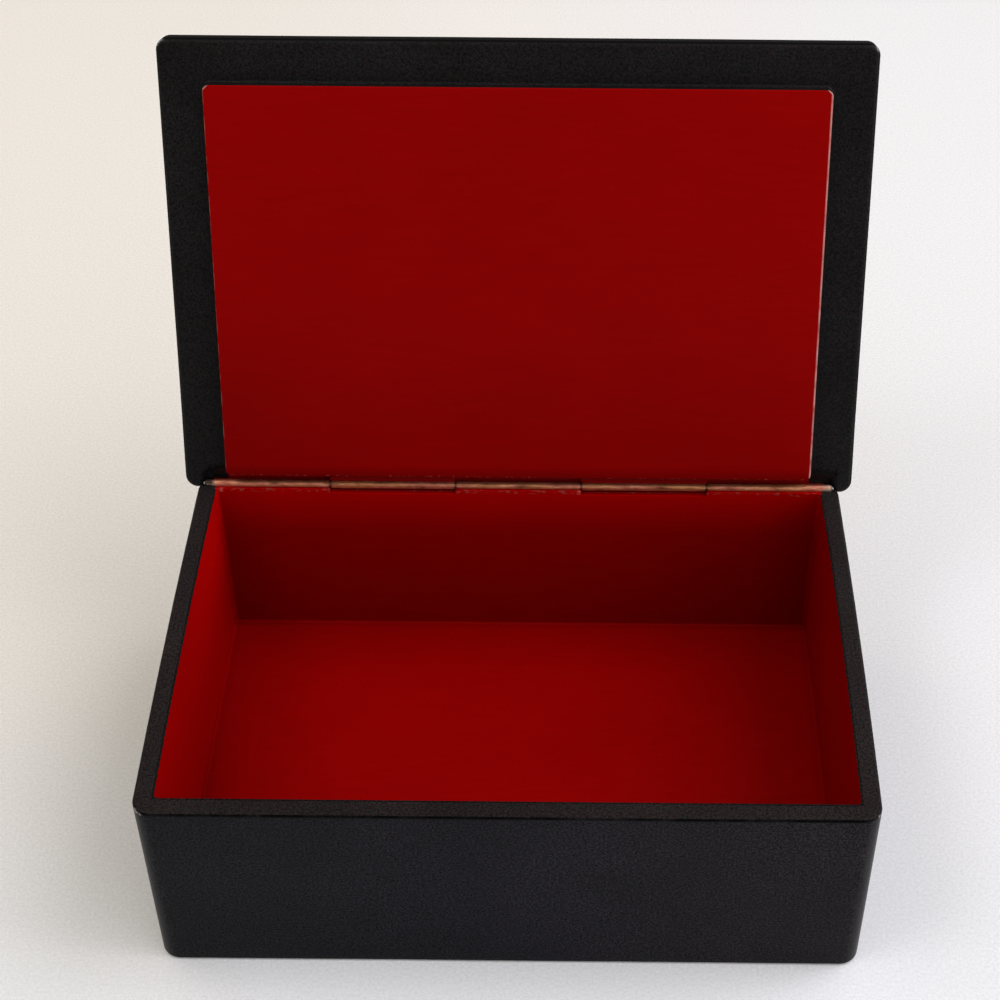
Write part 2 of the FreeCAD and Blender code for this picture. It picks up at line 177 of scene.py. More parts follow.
# How rough they are, from the low to the high end of their noise
BLACK_ROUGH = (0.26, 0.38)
RED_ROUGH = (0.30, 0.38)
BRASS_ROUGH = (0.60, 0.36)
STEEL_ROUGH = (0.3, 0.5)
FLOOR_ROUGH = 0.7
RUBBED_ROUGH = 0.5

# The two larger pale spots in the red edge under the hinge, part chips in the lacquer and part
# painted highlight
CHIPS_AND_GLINTS = (-74.2 * MM, 15.1 * MM)

# The floor is a wide square
FLOOR_REACH = 12.0
FLOOR_CELLS = 60

# A window to the right and above, and two weaker lamps to the left:
# the name, place, size, power and colour of each
LIGHTS = (
    ("window", (0.75, 0.05, 1.0), (0.7, 0.9), 4.9, (0.94, 0.93, 1.0)),
    ("lamp_front", (-0.6, -0.3, 1.2), (0.4, 0.4), 2.3, (0.96, 1.0, 0.99)),
    ("lamp_back", (-0.6, 0.3, 1.2), (0.7, 0.7), 1.9, (1.0, 0.78, 0.55)),
)

# The point that they all face
LIGHT_AIM = (0, 0.02, 0.05)

# The room's own light, and the direction and colour of the broad glows at its sides
ROOM = (0.40, 0.376, 0.348)
GLOWS = (
    ((0.9, 0, 0.44), (1.28, 1.25, 1.30)),
    ((-0.9, 0, 0.44), (0.15, 0.14, 0.115)),
)

# Camera, from the photograph's perspective
CAMERA_PLACE = (0.01193, -0.31857, 0.38210)
CAMERA_TILT = math.radians(47.045)
CAMERA_HEADING = math.radians(0.224)
CAMERA_ROLL = math.radians(0.367)
CAMERA_LENS = 71.215
CAMERA_SHIFT = (-0.06, 0.03)
CAMERA_SENSOR = 36
CAMERA_NEAR = 0.01


def extent(name, place):
    """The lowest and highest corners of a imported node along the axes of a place."""
    inverse = place.inverted()
    local = [inverse @ v.co for v in frame["nodes"][name].data.vertices]
    low = Vector([min(p[axis] for p in local) for axis in range(3)])
    high = Vector([max(p[axis] for p in local) for axis in range(3)])
    return low, high


# The hinge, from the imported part
HINGE = frame["joints"][0]
AXIS = Vector(HINGE["pos_m"])
OPEN_ANGLE = math.radians(HINGE["range_deg"][1])

# Closed-lid places about the hinge axis, carried to where the open lid holds them
LID_PLACE = Matrix.Translation(AXIS) @ Matrix.Rotation(-OPEN_ANGLE, 4, "X")
LID_FRONT = LID_PLACE.to_3x3() @ Vector(FRONT)
LID_UP = LID_PLACE.to_3x3() @ Vector(UP)

# How far the lid reaches to the side and to the front of the hinge
LID_LOW, LID_HIGH = extent("lid_board", LID_PLACE)
LID_SIDE = LID_HIGH.x
LID_REACH = -LID_LOW.y

# The faces of the walls, and the inside of the well
WALL_LOW, WALL_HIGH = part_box("body_wall")
RIM = WALL_HIGH.z
WALL_SIDE = WALL_HIGH.x
WALL_FRONT = -WALL_LOW.y
LINING_LOW, LINING_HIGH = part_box("well_lining")
WELL_SIDE = LINING_HIGH.x - COAT
WELL_BACK = LINING_HIGH.y - COAT
WELL_FLOOR = LINING_LOW.z + COAT

# The red before the hinge stops this far short of the well's ends
RED_SIDE = WELL_SIDE - 0.3 * MM


def new_object(name, data):
    """An object of the scene that shows a mesh, a light or a camera."""
    made = bpy.data.objects.new(name, data)
    bpy.context.scene.collection.objects.link(made)
    return made


def finish_piece(name, bm, body, material, nodes=(), sharp=35):
    """Turn a mesh in the making into a piece that rides on a body and stands for nodes."""
    bmesh.ops.recalc_face_normals(bm, faces=bm.faces)
    mesh = bpy.data.meshes.new(name)
    bm.to_mesh(mesh)
    bm.free()
    mesh.shade_smooth()
    mesh.set_sharp_from_angle(angle=math.radians(sharp))
    mesh.materials.append(material)
    piece = new_object(name, mesh)
    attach(piece, body)
    if nodes:
        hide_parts(*nodes)
    return piece


def node_surface(name):
    """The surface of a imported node, its split vertices and its flat faces joined again."""
    bm = bmesh.new()
    bm.from_mesh(frame["nodes"][name].data)
    bmesh.ops.remove_doubles(bm, verts=bm.verts, dist=SAME)
    flat = math.radians(0.05)
    bmesh.ops.dissolve_limit(bm, angle_limit=flat, verts=bm.verts, edges=bm.edges)
    return bm


def cut_grid(bm, place, cell):
    """Cut a surface along evenly spaced planes square to the axes of a place."""
    inverse = place.inverted()
    local = [inverse @ v.co for v in bm.verts]
    for axis in range(3):
        low = min(p[axis] for p in local)
        high = max(p[axis] for p in local)
        cuts = int((high - low) / cell)
        normal = place.to_3x3().col[axis]
        for step in range(1, cuts):
            at = [0, 0, 0]
            at[axis] = low + (high - low) * step / cuts
            geometry = bm.verts[:] + bm.edges[:] + bm.faces[:]
            bmesh.ops.bisect_plane(
                bm, geom=geometry, dist=SAME, plane_co=place @ Vector(at), plane_no=normal
            )


def make_uneven(bm, depth, length, seed):
    """Sink a surface by a slow wave, but leave the seat of the hinge true."""
    bm.normal_update()
    offset = Vector((seed, 2 * seed, 3 * seed))
    for v in bm.verts:
        away = math.hypot(v.co.y - AXIS.y, v.co.z - AXIS.z)
        hold = min(max((away - HINGE_CLEAR) / HINGE_FADE, 0), 1)
        wave = 0.5 + 0.5 * noise.noise(v.co / length + offset)
        v.co -= v.normal * depth * wave * hold


def shader_node(tree, kind, inputs=None, **settings):
    """Add a shader node; an input that is given as a socket is linked."""
    made = tree.nodes.new(kind)
    for key, value in settings.items():
        setattr(made, key, value)
    for key, value in (inputs or {}).items():
        if isinstance(value, bpy.types.NodeSocket):
            tree.links.new(value, made.inputs[key])
        else:
            made.inputs[key].default_value = value
    return made


def new_material(name):
    """A material with its node tree, its surface shader and its object coordinates."""
    material = bpy.data.materials.new(name)
    material.use_nodes = True
    tree = material.node_tree
    surface = tree.nodes["Principled BSDF"]
    place = tree.nodes.new("ShaderNodeTexCoord").outputs["Object"]
    return material, tree, surface, place


def noise_of(tree, place, scale, detail, roughness=0.55):
    """A grey noise from 0 to 1 whose features are 1/scale metres."""
    inputs = {"Vector": place, "Scale": scale, "Detail": detail, "Roughness": roughness}
    return shader_node(tree, "ShaderNodeTexNoise", inputs).outputs["Fac"]


def drawn_noise(tree, place, scales, detail, roughness=0.55):
    """A grey noise with a scale of its own along each axis."""
    made = shader_node(tree, "ShaderNodeMapping", {"Vector": place, "Scale": scales})
    return noise_of(tree, made.outputs["Vector"], 1, detail, roughness)


def ramp(tree, factor, stops):
    """A colour ramp of (position, colour) stops, in rising order."""
    made = shader_node(tree, "ShaderNodeValToRGB", {"Fac": factor})
    ends = made.color_ramp.elements
    for number, (position, colour) in enumerate(stops):
        stop = ends[number] if number < 2 else ends.new(position)
        stop.position = position
        stop.color = (*colour, 1)
    return made.outputs["Color"]


def grey(level):
    """A grey colour."""
    return (level, level, level)


def spread(tree, value, low, high, to_low=0.0, to_high=1.0):
    """A value mapped from one range to another, clamped."""
    inputs = {
        "Value": value,
        "From Min": low,
        "From Max": high,
        "To Min": to_low,
        "To Max": to_high,
    }
    return shader_node(tree, "ShaderNodeMapRange", inputs).outputs["Result"]


def of_noise(tree, value, to_low=0.0, to_high=1.0):
    """A noise mapped to a range of values."""
    return spread(tree, value, NOISE_LOW, NOISE_HIGH, to_low, to_high)


def patchy(tree, noise_value, start, full, least=0.0, most=1.0):
    """A noise sharpened into patches: least until it passes start, and most once it is full."""
    return spread(tree, noise_value, start, full, least, most)


def mixed(tree, factor, first, second, blend="MIX"):
    """Two colours mixed by a factor."""
    made = shader_node(tree, "ShaderNodeMix", data_type="RGBA", blend_type=blend)
    for socket, value in ((0, factor), (6, first), (7, second)):
        if isinstance(value, bpy.types.NodeSocket):
            tree.links.new(value, made.inputs[socket])
        elif socket:
            made.inputs[socket].default_value = (*value, 1)
        else:
            made.inputs[socket].default_value = value
    return made.outputs[2]


def times(tree, first, second):
    """Two colours multiplied."""
    return mixed(tree, 1.0, first, second, "MULTIPLY")


def sums(tree, operation, first, second=0.0):
    """One step of arithmetic on two values."""
    made = shader_node(tree, "ShaderNodeMath", operation=operation)
    for socket, value in enumerate((first, second)):
        if isinstance(value, bpy.types.NodeSocket):
            tree.links.new(value, made.inputs[socket])
        else:
            made.inputs[socket].default_value = value
    return made.outputs[0]


def bump(tree, surface, height, distance, strength=1.0, relief=None):
    """Relief on a surface, over an earlier relief if one is given."""
    inputs = {"Height": height, "Distance": distance, "Strength": strength}
    if relief:
        inputs["Normal"] = relief
    made = shader_node(tree, "ShaderNodeBump", inputs).outputs["Normal"]
    tree.links.new(made, surface.inputs["Normal"])
    return made


def vectors(tree, operation, first, second):
    """One step of arithmetic on two vectors or colours."""
    return shader_node(tree, "ShaderNodeVectorMath", {0: first, 1: second}, operation=operation)


def along(tree, place, direction, origin=MIDDLE):
    """How far a point lies from an origin along a direction."""
    offset = vectors(tree, "SUBTRACT", place, origin).outputs["Vector"]
    return vectors(tree, "DOT_PRODUCT", offset, direction).outputs["Value"]


def aside(tree, place, middle=0.0):
    """How far a point lies to either side of a place along the hinge."""
    return sums(tree, "ABSOLUTE", along(tree, place, RIGHT, (middle, 0, 0)))


def below(tree, value, limit, soft):
    """1 where a value is under a limit, fading to 0 across a soft width above it."""
    return spread(tree, value, limit, limit + soft, 1.0, 0.0)


def above(tree, value, limit, soft):
    """1 where a value is over a limit, fading to 0 across a soft width under it."""
    return spread(tree, value, limit - soft, limit, 0.0, 1.0)


def every(tree, *masks):
    """Where all the masks hold."""
    held = masks[0]
    for mask in masks[1:]:
        held = sums(tree, "MULTIPLY", held, mask)
    return held


def wobbled(tree, place, value, scale, reach):
    """A value moved to and fro by up to a reach, for an edge painted by hand."""
    sway = spread(tree, noise_of(tree, place, scale, detail=2), 0.25, 0.75, -reach, reach)
    return sums(tree, "ADD", value, sway)


def tinted(tree, colour, tint):
    """A colour multiplied by a tint, which may brighten it."""
    return vectors(tree, "MULTIPLY", colour, tint).outputs["Vector"]


def scaled(tree, colour, factor):
    """A colour or vector multiplied by a number."""
    made = shader_node(tree, "ShaderNodeVectorMath", {0: colour, "Scale": factor}, operation="SCALE")
    return made.outputs["Vector"]


def shaded(tree, colour, zone, tone):
    """A colour made lighter or darker by a tone inside a zone."""
    change = sums(tree, "MULTIPLY", sums(tree, "SUBTRACT", tone, 1.0), zone)
    return scaled(tree, colour, sums(tree, "ADD", change, 1.0))


def fine_grain(tree, place):
    """The fine grain of the black lacquer."""
    return noise_of(tree, place, scale=2000, detail=3, roughness=0.6)


def glint_flecks(tree, place, share):
    """Pale specks of painted glint on a corner, fewer as the share rises."""
    return above(tree, noise_of(tree, place, scale=900, detail=2), share, soft=0.06)


def chipped_and_glinting(tree, place, colour, zone, pale):
    """Paler specks on an edge, part wear and part painted highlight."""
    share = 0.64
    specks = drawn_noise(tree, place, scales=(900, 1500, 1500), detail=3, roughness=0.6)
    marks = every(tree, above(tree, specks, share, soft=0.10), zone)
    return mixed(tree, marks, colour, pale)


def black_colour(tree, place, grain):
    """The black lacquer's own colour, faintly clouded and finely mottled."""
    cloud = noise_of(tree, place, scale=45, detail=2)
    base = ramp(tree, cloud, [(NOISE_LOW, BLACK_DARK), (NOISE_HIGH, BLACK_LIGHT)])
    speck = ramp(tree, grain, [(0.36, grey(0.4)), (0.64, (1.65, 1.62, 1.65))])
    hue = ramp(tree, noise_of(tree, place, scale=1300, detail=2), [
        (0.36, (0.8, 1.08, 1.12)),
        (0.5, (1.08, 1.0, 0.88)),
        (0.64, (1.1, 0.93, 1.12)),
    ])
    return times(tree, times(tree, base, speck), hue)


def red_colour(tree, place, strokes):
    """The red lacquer's own colour, faintly clouded and brushed."""
    cloud = noise_of(tree, place, scale=30, detail=2)
    base = ramp(tree, cloud, [(NOISE_LOW, RED_DARK), (NOISE_HIGH, RED_LIGHT)])
    tone = ramp(tree, strokes, [(NOISE_LOW, grey(0.96)), (NOISE_HIGH, grey(1.03))])
    return times(tree, base, tone)


def black_lacquer(name, gloss=PLAIN_GLOSS, red_zone=None, marks=None, dull=None):
    """Satin black lacquer over wound paper; it may have painted light and shade, be rubbed dull, or
    have red on it.
    """
    material, tree, surface, place = new_material(name)
    grain = fine_grain(tree, place)
    colour = black_colour(tree, place, grain)
    if marks:
        colour = marks(tree, place, colour)
    if red_zone:
        colour = mixed(tree, red_zone(tree, place), colour, red_colour(tree, place, grain))
    tree.links.new(colour, surface.inputs["Base Color"])
    rough = of_noise(tree, grain, *BLACK_ROUGH)
    if dull:
        rubbed = sums(tree, "MULTIPLY", dull(tree, place), RUBBED_ROUGH)
        rough = sums(tree, "ADD", rough, rubbed)
    tree.links.new(rough, surface.inputs["Roughness"])
    surface.inputs["Specular IOR Level"].default_value = gloss
    ripple = noise_of(tree, place, scale=160, detail=2)
    relief = bump(tree, surface, ripple, distance=0.08 * MM, strength=0.25)
    bump(tree, surface, grain, distance=0.03 * MM, strength=0.5, relief=relief)
    return material


def lid_red_zone(tree, place):
    """The strip of the lid's underside between its panel and the hinge."""
    strip_start = -0.1 * MM
    strip_depth = 3.3 * MM
    strip_rise = 1.5 * MM
    strip_side = 72.6 * MM
    edge = 0.1 * MM
    front = along(tree, place, LID_FRONT, AXIS)
    front = wobbled(tree, place, front, scale=900, reach=0.15 * MM)
    return every(
        tree,
        below(tree, front, strip_depth, soft=edge),
        above(tree, front, strip_start, soft=edge),
        below(tree, along(tree, place, LID_UP, AXIS), strip_rise, soft=edge),
        below(tree, aside(tree, place), strip_side, soft=0.3 * MM),
    )


def wall_red_zone(tree, place):
    """The ledge of the back rim before the hinge, and the notches that open out of it."""
    ledge_start = WELL_BACK - 0.5 * MM
    ledge_end = AXIS.y + 0.2 * MM
    notch_depth = 3 * MM
    edge = 0.1 * MM
    back = along(tree, place, BACK)
    return every(
        tree,
        above(tree, back, ledge_start, soft=edge),
        below(tree, back, ledge_end, soft=edge),
        above(tree, along(tree, place, UP), RIM - notch_depth, soft=edge),
        below(tree, aside(tree, place), RED_SIDE, soft=0.3 * MM),
    )


def lid_edge(tree, place):
    """The outermost turn of the lid's edge, all round but at the hinge."""
    front_width = 0.35 * MM
    side_width = 0.3 * MM
    front = along(tree, place, LID_FRONT, AXIS)
    at_front = above(tree, front, LID_REACH - front_width, soft=0.25 * MM)
    at_side = above(tree, aside(tree, place), LID_SIDE - side_width, soft=0.2 * MM)
    return sums(tree, "MAXIMUM", at_front, at_side)


def lid_painted_light(tree, place, colour):
    """Painted glints on the outer corners of the lid's underside, and a painted shade line along its
    edge.
    """
    corner_cut = 2.4 * MM
    glint_rise = 0.7 * MM
    # Painted glints: pale specks where the lid's rounded corners would catch the light
    corner = sums(tree, "ADD", along(tree, place, LID_FRONT, AXIS), aside(tree, place))
    glint = every(
        tree,
        above(tree, corner, LID_REACH + LID_SIDE - corner_cut, soft=0.3 * MM),
        below(tree, along(tree, place, LID_UP, AXIS), glint_rise, soft=0.4 * MM),
        glint_flecks(tree, place, share=0.54),
    )
    # Painted shade: the outermost turn of the edge is darkened, as if it reflected only dark
    colour = mixed(tree, lid_edge(tree, place), colour, LID_EDGE_SHADE)
    return mixed(tree, glint, colour, LID_CORNER_GLINT)


def front_painted_light(tree, place, colour):
    """The front wall's black: cooler than the rest, painted lighter to the right and more specked.
    """
    side = 75 * MM
    # Painted light: darker at the left and lighter at the right, where the light comes from
    tones = ramp(tree, spread(tree, along(tree, place, RIGHT), -side, side), [
        (0.0, (0.70, 0.80, 0.90)),
        (0.45, (0.85, 0.92, 1.30)),
        (1.0, (1.20, 1.15, 1.35)),
    ])
    speck = ramp(tree, fine_grain(tree, place), [(0.38, grey(0.35)), (0.62, grey(1.65))])
    return times(tree, times(tree, colour, tones), speck)


def wall_painted_light(tree, place, colour):
    """Painted light on the walls: a lighter, warmer rim, a shade line parting it from the sides, the
    front's tones and corner glints.
    """
    rim_light_tint = (1.65, 1.5, 1.42)
    rim_turn = 0.15 * MM
    line_top = RIM - 0.25 * MM
    line_foot = RIM - 0.85 * MM
    front_top = RIM - 1.0 * MM
    front_depth = 0.8 * MM
    corner_cut = 3.1 * MM
    glint_depth = 1.1 * MM
    up = along(tree, place, UP)
    front = along(tree, place, FRONT)
    # Painted light: the rim's top is made lighter and warmer, as where light falls on it
    on_rim = above(tree, up, RIM - rim_turn, soft=0.3 * MM)
    colour = mixed(tree, on_rim, colour, tinted(tree, colour, rim_light_tint))
    # The front face takes its painted light here
    on_front = every(
        tree,
        above(tree, front, WALL_FRONT - front_depth, soft=front_depth),
        below(tree, up, front_top, soft=0.3 * MM),
    )
    colour = mixed(tree, on_front, colour, front_painted_light(tree, place, colour))
    # Painted shade: a broken dark line under the rim's edge, standing in for the shade of its
    # rounding
    gaps = noise_of(tree, place, scale=180, detail=3)
    line = every(
        tree,
        below(tree, up, line_top, soft=0.1 * MM),
        above(tree, up, line_foot, soft=0.15 * MM),
        patchy(tree, gaps, start=0.35, full=0.55, least=0.3),
    )
    colour = mixed(tree, line, colour, RIM_LINE_SHADE)
    # Painted glints: pale specks on the rim's front corners, where light would catch them
    corner = sums(tree, "ADD", front, aside(tree, place))
    glint = every(
        tree,
        above(tree, corner, WALL_FRONT + WALL_SIDE - corner_cut, soft=0.3 * MM),
        above(tree, up, RIM - glint_depth, soft=0.2 * MM),
        glint_flecks(tree, place, share=0.50),
    )
    return mixed(tree, glint, colour, RIM_CORNER_GLINT)


def red_surface(name):
    """Deep red lacquer, brushed on along the box; its colour is left to be linked."""
    material, tree, surface, place = new_material(name)
    strokes = drawn_noise(tree, place, scales=(120, 700, 700), detail=3, roughness=0.6)
    tree.links.new(of_noise(tree, strokes, *RED_ROUGH), surface.inputs["Roughness"])
    surface.inputs["Specular IOR Level"].default_value = RED_GLOSS
    ripple = noise_of(tree, place, scale=140, detail=2)
    relief = bump(tree, surface, ripple, distance=0.10 * MM, strength=0.3)
    bump(tree, surface, strokes, distance=0.02 * MM, strength=0.2, relief=relief)
    return material, tree, surface, place, red_colour(tree, place, strokes)


def well_back_painted_light(tree, place, colour, up):
    """The well's back wall: painted light under the hinge, painted shade at its foot and in its
    corners.
    """
    face_depth = 1.2 * MM
    glow_depth = 14 * MM
    margin = 8 * MM
    corner_width = 16 * MM
    on_back = above(tree, along(tree, place, BACK), WELL_BACK - face_depth, soft=1 * MM)
    # Painted light under the hinge, and painted shade at the foot and in the corners
    top = spread(tree, up, RIM, RIM - glow_depth, BACK_TOP_PAINTED_LIGHT, 1.0)
    foot = spread(tree, up, RIM - margin, margin, 1.0, BACK_FOOT_PAINTED_SHADE)
    corner = spread(tree, aside(tree, place), WELL_SIDE - corner_width, WELL_SIDE, 1.0, BACK_CORNER_PAINTED_SHADE)
    for tone in (top, foot, corner):
        colour = shaded(tree, colour, on_back, tone)
    return colour


def well_left_painted_light(tree, place, colour, up):
    """The well's left wall: painted lighter towards its top and towards the back."""
    face_depth = 0.2 * MM
    rise_from = 8 * MM
    rise_to = RIM - 5 * MM
    high_from = 15 * MM
    high_to = RIM - 12 * MM
    foot_full = 6 * MM
    foot_end = 24 * MM
    near = -10 * MM
    far = 45 * MM
    back = along(tree, place, BACK)
    on_left = below(tree, along(tree, place, RIGHT), -WELL_SIDE + face_depth, soft=1 * MM)
    # Painted light: lighter towards the top, and towards the back both high and low
    colour = shaded(tree, colour, on_left, spread(tree, up, rise_from, rise_to, 1.0, LEFT_TOP_PAINTED_LIGHT))
    high = every(tree, on_left, spread(tree, up, high_from, high_to))
    colour = shaded(tree, colour, high, spread(tree, back, near, far, 1.0, LEFT_FAR_PAINTED_LIGHT))
    foot = every(tree, on_left, spread(tree, up, foot_full, foot_end, 1.0, 0.0))
    return shaded(tree, colour, foot, spread(tree, back, near, far, 1.0, LEFT_FOOT_PAINTED_LIGHT))


def well_floor_painted_shade(tree, place, colour, up):
    """The well's floor: painted shade at its left, and where it meets the two side walls."""
    face_depth = 0.3 * MM
    left_width = 10 * MM
    near = -25 * MM
    far = 45 * MM
    seam_width = 2.5 * MM
    low = below(tree, up, WELL_FLOOR + face_depth, soft=2 * MM)
    right = along(tree, place, RIGHT)
    # Painted shade on the floor beside the left wall and along both side seams
    left_floor = every(
        tree,
        low,
        spread(tree, right, -WELL_SIDE, -WELL_SIDE + left_width, 1.0, 0.0),
        spread(tree, along(tree, place, BACK), near, far, 1.0, 0.0),
    )
    colour = shaded(tree, colour, left_floor, FLOOR_LEFT_PAINTED_SHADE)
    seam = every(tree, low, above(tree, aside(tree, place), RED_SIDE, soft=seam_width))
    return shaded(tree, colour, seam, FLOOR_SEAM_PAINTED_SHADE)


def well_edge(tree, place, colour, up):
    """The well's upper edge: pale specks and chips along the hinge, part wear and part painted
    highlight, and the rim's black elsewhere.
    """
    hinge_side = WELL_BACK - 0.3 * MM
    chip_glint_side = WELL_BACK - 0.5 * MM
    chip_glint_radius = 0.1 * MM
    lap = 0.2 * MM
    edge_depth = 0.7 * MM
    back = along(tree, place, BACK)
    at_hinge = every(
        tree,
        above(tree, back, hinge_side, soft=0.1 * MM),
        below(tree, aside(tree, place), RED_SIDE, soft=0.3 * MM),
    )
    lapped = every(
        tree,
        above(tree, up, RIM - lap, soft=0.08 * MM),
        sums(tree, "SUBTRACT", 1.0, at_hinge),
    )
    colour = mixed(tree, lapped, colour, black_colour(tree, place, fine_grain(tree, place)))
    # Pale specks along the hinge's edge and two larger spots, part wear and part painted highlight
    edge = every(tree, above(tree, up, RIM - edge_depth, soft=0.3 * MM), at_hinge)
    colour = chipped_and_glinting(tree, place, colour, edge, WELL_SPECK)
    crumbs = noise_of(tree, place, scale=1100, detail=2)
    for chip_glint_at in CHIPS_AND_GLINTS:
        chip_glint = every(
            tree,
            below(tree, aside(tree, place, chip_glint_at), chip_glint_radius, soft=0.5 * MM),
            above(tree, up, RIM - edge_depth, soft=0.5 * MM),
            above(tree, back, chip_glint_side, soft=0.3 * MM),
            patchy(tree, crumbs, start=0.38, full=0.55, least=0.3),
        )
        colour = mixed(tree, chip_glint, colour, WELL_CHIP_AND_GLINT)
    return colour


def well_red():
    """The well's red with its painted light and shade; the rim's black laps over its upper edge,
    except along the hinge.
    """
    material, tree, surface, place, colour = red_surface("red_lacquer_well")
    up = wobbled(tree, place, along(tree, place, UP), scale=260, reach=0.12 * MM)
    for painted in (well_back_painted_light, well_left_painted_light, well_floor_painted_shade, well_edge):
        colour = painted(tree, place, colour, up)
    tree.links.new(colour, surface.inputs["Base Color"])
    return material


def panel_painted_shade(tree, place, colour, hinge_edge):
    """The panel's red: painted shade towards the hinge, most of all beside it, and low on the left.
    """
    wide = 45 * MM
    narrow = 3 * MM
    left_full = -70 * MM
    left_end = -35 * MM
    low_full = 25 * MM
    low_end = 60 * MM
    front = along(tree, place, LID_FRONT, AXIS)
    # Painted shade towards the hinge and low on the left
    for width, tone in ((wide, PANEL_NEAR_HINGE_SHADE), (narrow, PANEL_AT_HINGE_SHADE)):
        near = spread(tree, front, hinge_edge, hinge_edge + width, tone, 1.0)
        colour = shaded(tree, colour, 1.0, near)
    left_low = every(
        tree,
        spread(tree, along(tree, place, RIGHT), left_full, left_end, 1.0, 0.0),
        spread(tree, front, low_full, low_end, 1.0, 0.0),
    )
    return shaded(tree, colour, left_low, PANEL_LEFT_SHADE)


def panel_rim_highlights(tree, place, colour, low, high):
    """The panel's rounded rim: painted highlights at its sides and far corners, and pale specks
    along the hinge, part wear and part painted highlight.
    """
    right_width = 0.34 * MM
    left_width = 0.12 * MM
    hinge_width = 0.35 * MM
    corner_cut = 1.15 * MM
    right = along(tree, place, RIGHT)
    front = along(tree, place, LID_FRONT, AXIS)
    at_right = above(tree, right, high.x - right_width, soft=0.14 * MM)
    at_left = below(tree, right, low.x + left_width, soft=0.12 * MM)
    rubbed = noise_of(tree, place, scale=220, detail=3)
    rubbed = patchy(tree, rubbed, start=0.35, full=0.6, least=0.35, most=0.9)
    faint = noise_of(tree, place, scale=260, detail=3)
    faint = patchy(tree, faint, start=0.45, full=0.7, most=0.5)
    # Painted highlights: broken pale lines down the rim's sides and on its far corners; the rubbed
    # noise only breaks them up
    colour = mixed(tree, every(tree, at_right, rubbed), colour, PANEL_RIGHT_HIGHLIGHT)
    colour = mixed(tree, every(tree, at_left, faint), colour, PANEL_LEFT_HIGHLIGHT)
    corner = sums(tree, "ADD", front, aside(tree, place))
    far_corner = above(tree, corner, high.x - low.y - corner_cut, soft=0.25 * MM)
    colour = mixed(tree, every(tree, far_corner, rubbed), colour, PANEL_CORNER_HIGHLIGHT)
    # Pale specks along the hinge edge, part wear and part painted highlight
    hinge_edge = below(tree, front, -high.y + hinge_width, soft=0.2 * MM)
    return chipped_and_glinting(tree, place, colour, hinge_edge, PANEL_SPECK)


def panel_red():
    """The panel's red with its painted shade, black where its edges turn down, and painted
    highlights along its rounded rim.
    """
    edge_depth = 0.3 * MM
    material, tree, surface, place, colour = red_surface("red_lacquer_panel")
    low, high = extent("lid_panel_lining", LID_PLACE)
    colour = panel_painted_shade(tree, place, colour, -high.y)
    down = along(tree, place, -LID_UP, AXIS)
    down = wobbled(tree, place, down, scale=300, reach=0.06 * MM)
    turned = below(tree, down, -low.z - edge_depth, soft=0.05 * MM)
    colour = mixed(tree, turned, colour, black_colour(tree, place, fine_grain(tree, place)))
    colour = panel_rim_highlights(tree, place, colour, low, high)
    tree.links.new(colour, surface.inputs["Base Color"])
    return material


def tube_ends(tree, place, colour, streaks):
    """The hinge's ends: greyed at both sides as paler metal from wear with a painted highlight, and
    blackened at the left.
    """
    grey_from = 77.5 * MM
    black_to = -76.6 * MM
    # Greyed ends: paler metal from wear, and a painted highlight
    ends = every(
        tree,
        above(tree, aside(tree, place), grey_from, soft=2.5 * MM),
        patchy(tree, streaks, start=0.4, full=0.6),
    )
    colour = mixed(tree, ends, colour, TUBE_END_WEAR_AND_HIGHLIGHT)
    blackened = every(
        tree,
        below(tree, along(tree, place, RIGHT), black_to, soft=0.8 * MM),
        patchy(tree, streaks, start=0.62, full=0.56, most=0.92),
    )
    return mixed(tree, blackened, colour, SOOT)


def tube_joints(tree, place, colour):
    """Dark rings where two lengths of the hinge's tube meet."""
    joint_core = 0.10 * MM
    joint_edge = 0.45 * MM
    depth = 0.75
    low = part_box("base_knuckle_left")[0].x
    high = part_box("base_knuckle_right")[1].x
    from_end = along(tree, place, RIGHT, (low, 0, 0))
    from_joint = sums(tree, "PINGPONG", from_end, (high - low) / KNUCKLES / 2)
    joint = spread(tree, from_joint, joint_core, joint_edge, depth, 0.0)
    return mixed(tree, joint, colour, JOINT_SHADE)


def hinge_brass(name, smeared=False):
    """Old brass tube, brown in its hollows, with rosy metal and pale specks where it is rubbed."""
    material, tree, surface, place = new_material(name)
    streaks = drawn_noise(tree, place, scales=(260, 1100, 1100), detail=4, roughness=0.7)
    patches = drawn_noise(tree, place, scales=(90, 400, 400), detail=2)
    colour = mixed(
        tree,
        patchy(tree, patches, start=0.42, full=0.58),
        ramp(tree, streaks, COPPER),
        ramp(tree, streaks, ROSY),
    )
    colour = tube_ends(tree, place, colour, streaks)
    colour = tube_joints(tree, place, colour)
    if smeared:
        smear = noise_of(tree, place, scale=700, detail=3)
        smear = patchy(tree, smear, start=0.62, full=0.72, least=1.0, most=0.0)
        colour = mixed(tree, smear, colour, red_colour(tree, place, streaks))
    tree.links.new(colour, surface.inputs["Base Color"])
    tree.links.new(of_noise(tree, streaks, *BRASS_ROUGH), surface.inputs["Roughness"])
    surface.inputs["Metallic"].default_value = SMEARED_METAL if smeared else TUBE_METAL
    bump(tree, surface, streaks, distance=0.05 * MM, strength=0.6)
    return material


def pin_steel():
    """Drawn steel wire, a little dulled."""
    material, tree, surface, place = new_material("pin_steel")
    grain = noise_of(tree, place, scale=2500, detail=3)
    colour = ramp(tree, grain, [(NOISE_LOW, STEEL_DARK), (NOISE_HIGH, STEEL_LIGHT)])
    tree.links.new(colour, surface.inputs["Base Color"])
    tree.links.new(of_noise(tree, grain, *STEEL_ROUGH), surface.inputs["Roughness"])
    surface.inputs["Metallic"].default_value = 1.0
    return material


